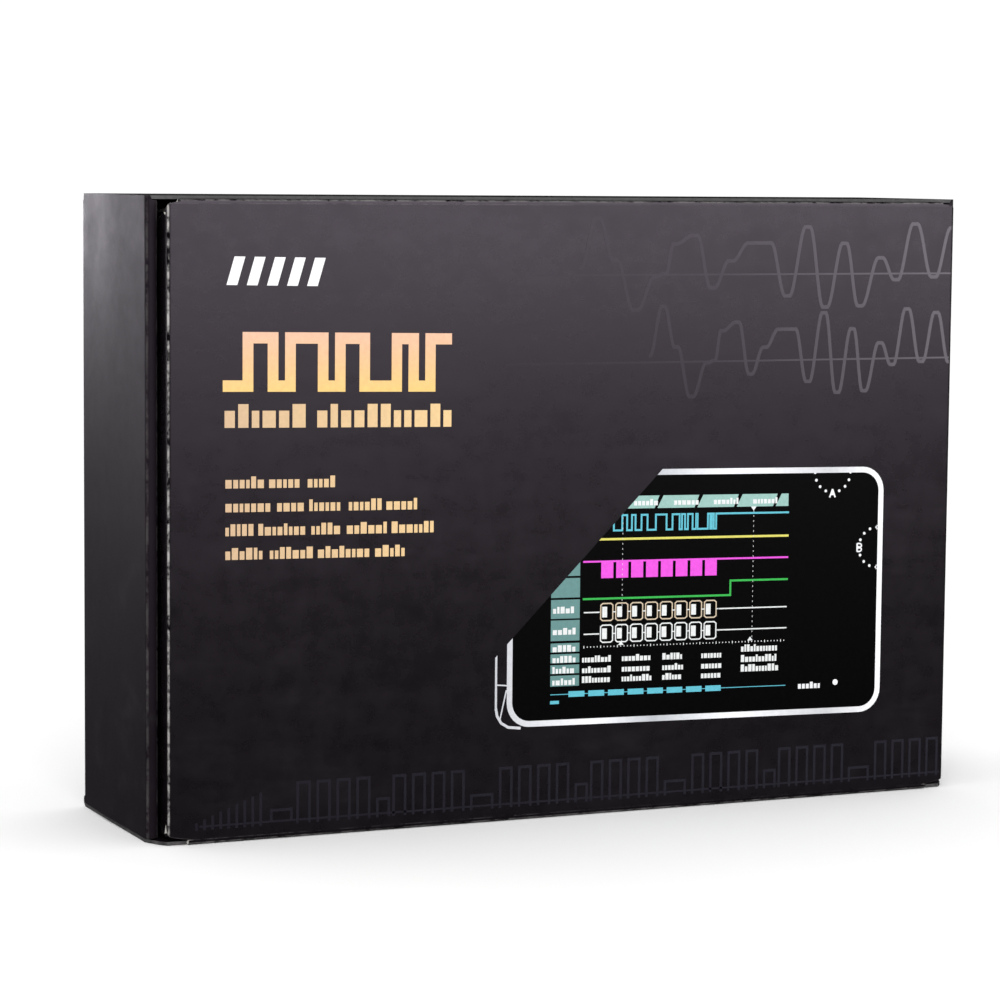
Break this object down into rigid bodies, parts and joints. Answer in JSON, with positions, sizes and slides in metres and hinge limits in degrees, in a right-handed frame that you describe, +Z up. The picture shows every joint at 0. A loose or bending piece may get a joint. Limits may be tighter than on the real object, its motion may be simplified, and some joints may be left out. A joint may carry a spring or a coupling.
{
  "type": "boxed logic analyzer",
  "caption": "Pocket logic analyzer with a colour screen, keys and thumbwheels, in a foam-lined black printed mailer carton that stands on its hinge edge.",
  "frame": {"origin": "centre of the bounding box's bottom face, which is the hinge edge that the carton stands on", "axes": "+X right along the carton's width, +Y into its depth away from the printed lid, +Z up"},
  "size_m": [0.196, 0.051, 0.137],
  "materials": {
    "printed_board": "matte laminated black print over white-cored folding board",
    "foam": "charcoal closed-cell foam, die cut",
    "aluminium_case": "bead-blasted silver anodised",
    "window": "clear window printed black on its back outside the screen",
    "display": "liquid crystal display glass",
    "stamped_steel": "bright stamped steel",
    "ribbon": "amber film with copper tracks",
    "circuit_board": "green solder mask over glass-fibre board",
    "chip_plastic": "black moulding compound",
    "light_guide": "clear moulded light guide over the light",
    "battery_pouch": "silver foil pouch",
    "key_metal": "satin anodised",
    "wheel_rubber": "black, toothed rim"
  },
  "bodies": {
    "carton": {"back_panel": "printed_board", "hinge_wall": "printed_board", "tuck_wall": "printed_board", "left_outer_wall": "printed_board", "left_hinge_ear": "printed_board", "left_tuck_ear": "printed_board", "left_rolled_wall": "printed_board", "right_outer_wall": "printed_board", "right_hinge_ear": "printed_board", "right_tuck_ear": "printed_board", "right_rolled_wall": "printed_board", "foam_base_layer": "foam", "foam_middle_layer": "foam", "foam_top_layer": "foam"},
    "lid": {"lid_panel": "printed_board", "left_dust_flap": "printed_board", "right_dust_flap": "printed_board"},
    "folding_tuck_flap": {"tuck_flap": "printed_board"},
    "analyzer": {"analyzer_bezel": "aluminium_case", "front_window": "window", "display_glass": "display", "display_backlight": "stamped_steel", "display_ribbon": "ribbon", "main_board": "circuit_board", "controller_chip": "chip_plastic", "gate_array_chip": "chip_plastic", "flash_chip": "chip_plastic", "charger_chip": "chip_plastic", "clock_crystal": "stamped_steel", "battery_cell": "battery_pouch", "buzzer": "chip_plastic", "status_light": "light_guide", "usb_socket": "stamped_steel", "probe_port": "chip_plastic", "rear_cover": "aluminium_case", "case_screw_1": "stamped_steel", "case_screw_2": "stamped_steel", "case_screw_3": "stamped_steel", "case_screw_4": "stamped_steel", "key_switch_1": "stamped_steel", "key_switch_2": "stamped_steel", "key_switch_3": "stamped_steel", "key_switch_4": "stamped_steel", "encoder_a": "stamped_steel", "encoder_b": "stamped_steel"},
    "pressed_key_1": {"key_1": "key_metal"},
    "pressed_key_2": {"key_2": "key_metal"},
    "pressed_key_3": {"key_3": "key_metal"},
    "pressed_key_4": {"key_4": "key_metal"},
    "upper_wheel": {"wheel_a": "wheel_rubber"},
    "side_wheel": {"wheel_b": "wheel_rubber"}
  },
  "joints": [
    {"name": "lid_hinge", "type": "hinge", "parent": "carton", "child": "lid", "pos_m": [0, -0.0255, 0], "axis": [1, 0, 0], "range_deg": [0, 90]},
    {"name": "tuck_flap_fold", "type": "hinge", "parent": "lid", "child": "folding_tuck_flap", "pos_m": [0, -0.0255, 0.1355], "axis": [1, 0, 0], "range_deg": [0, 20]},
    {"name": "analyzer_lift", "type": "slide", "parent": "carton", "child": "analyzer", "axis": [0, -1, 0], "range_m": [0, 0.005]},
    {"name": "key_1_press", "type": "slide", "parent": "analyzer", "child": "pressed_key_1", "axis": [0, 0, -1], "range_m": [0, 0.0004], "stiffness_N_per_m": 900},
    {"name": "key_2_press", "type": "slide", "parent": "analyzer", "child": "pressed_key_2", "axis": [0, 0, -1], "range_m": [0, 0.0004], "stiffness_N_per_m": 900},
    {"name": "key_3_press", "type": "slide", "parent": "analyzer", "child": "pressed_key_3", "axis": [0, 0, -1], "range_m": [0, 0.0004], "stiffness_N_per_m": 900},
    {"name": "key_4_press", "type": "slide", "parent": "analyzer", "child": "pressed_key_4", "axis": [0, 0, -1], "range_m": [0, 0.0004], "stiffness_N_per_m": 900},
    {"name": "wheel_a_spin", "type": "hinge", "parent": "analyzer", "child": "upper_wheel", "pos_m": [0.0058, -0.01165, 0.09005], "axis": [0, -1, 0], "continuous": true},
    {"name": "wheel_b_spin", "type": "hinge", "parent": "analyzer", "child": "side_wheel", "pos_m": [0.0151, -0.01165, 0.0759], "axis": [0, -1, 0], "continuous": true}
  ],
  "couplings": [
    {"joint": "tuck_flap_fold", "follows": "lid_hinge", "ratio": 0.2}
  ]
}
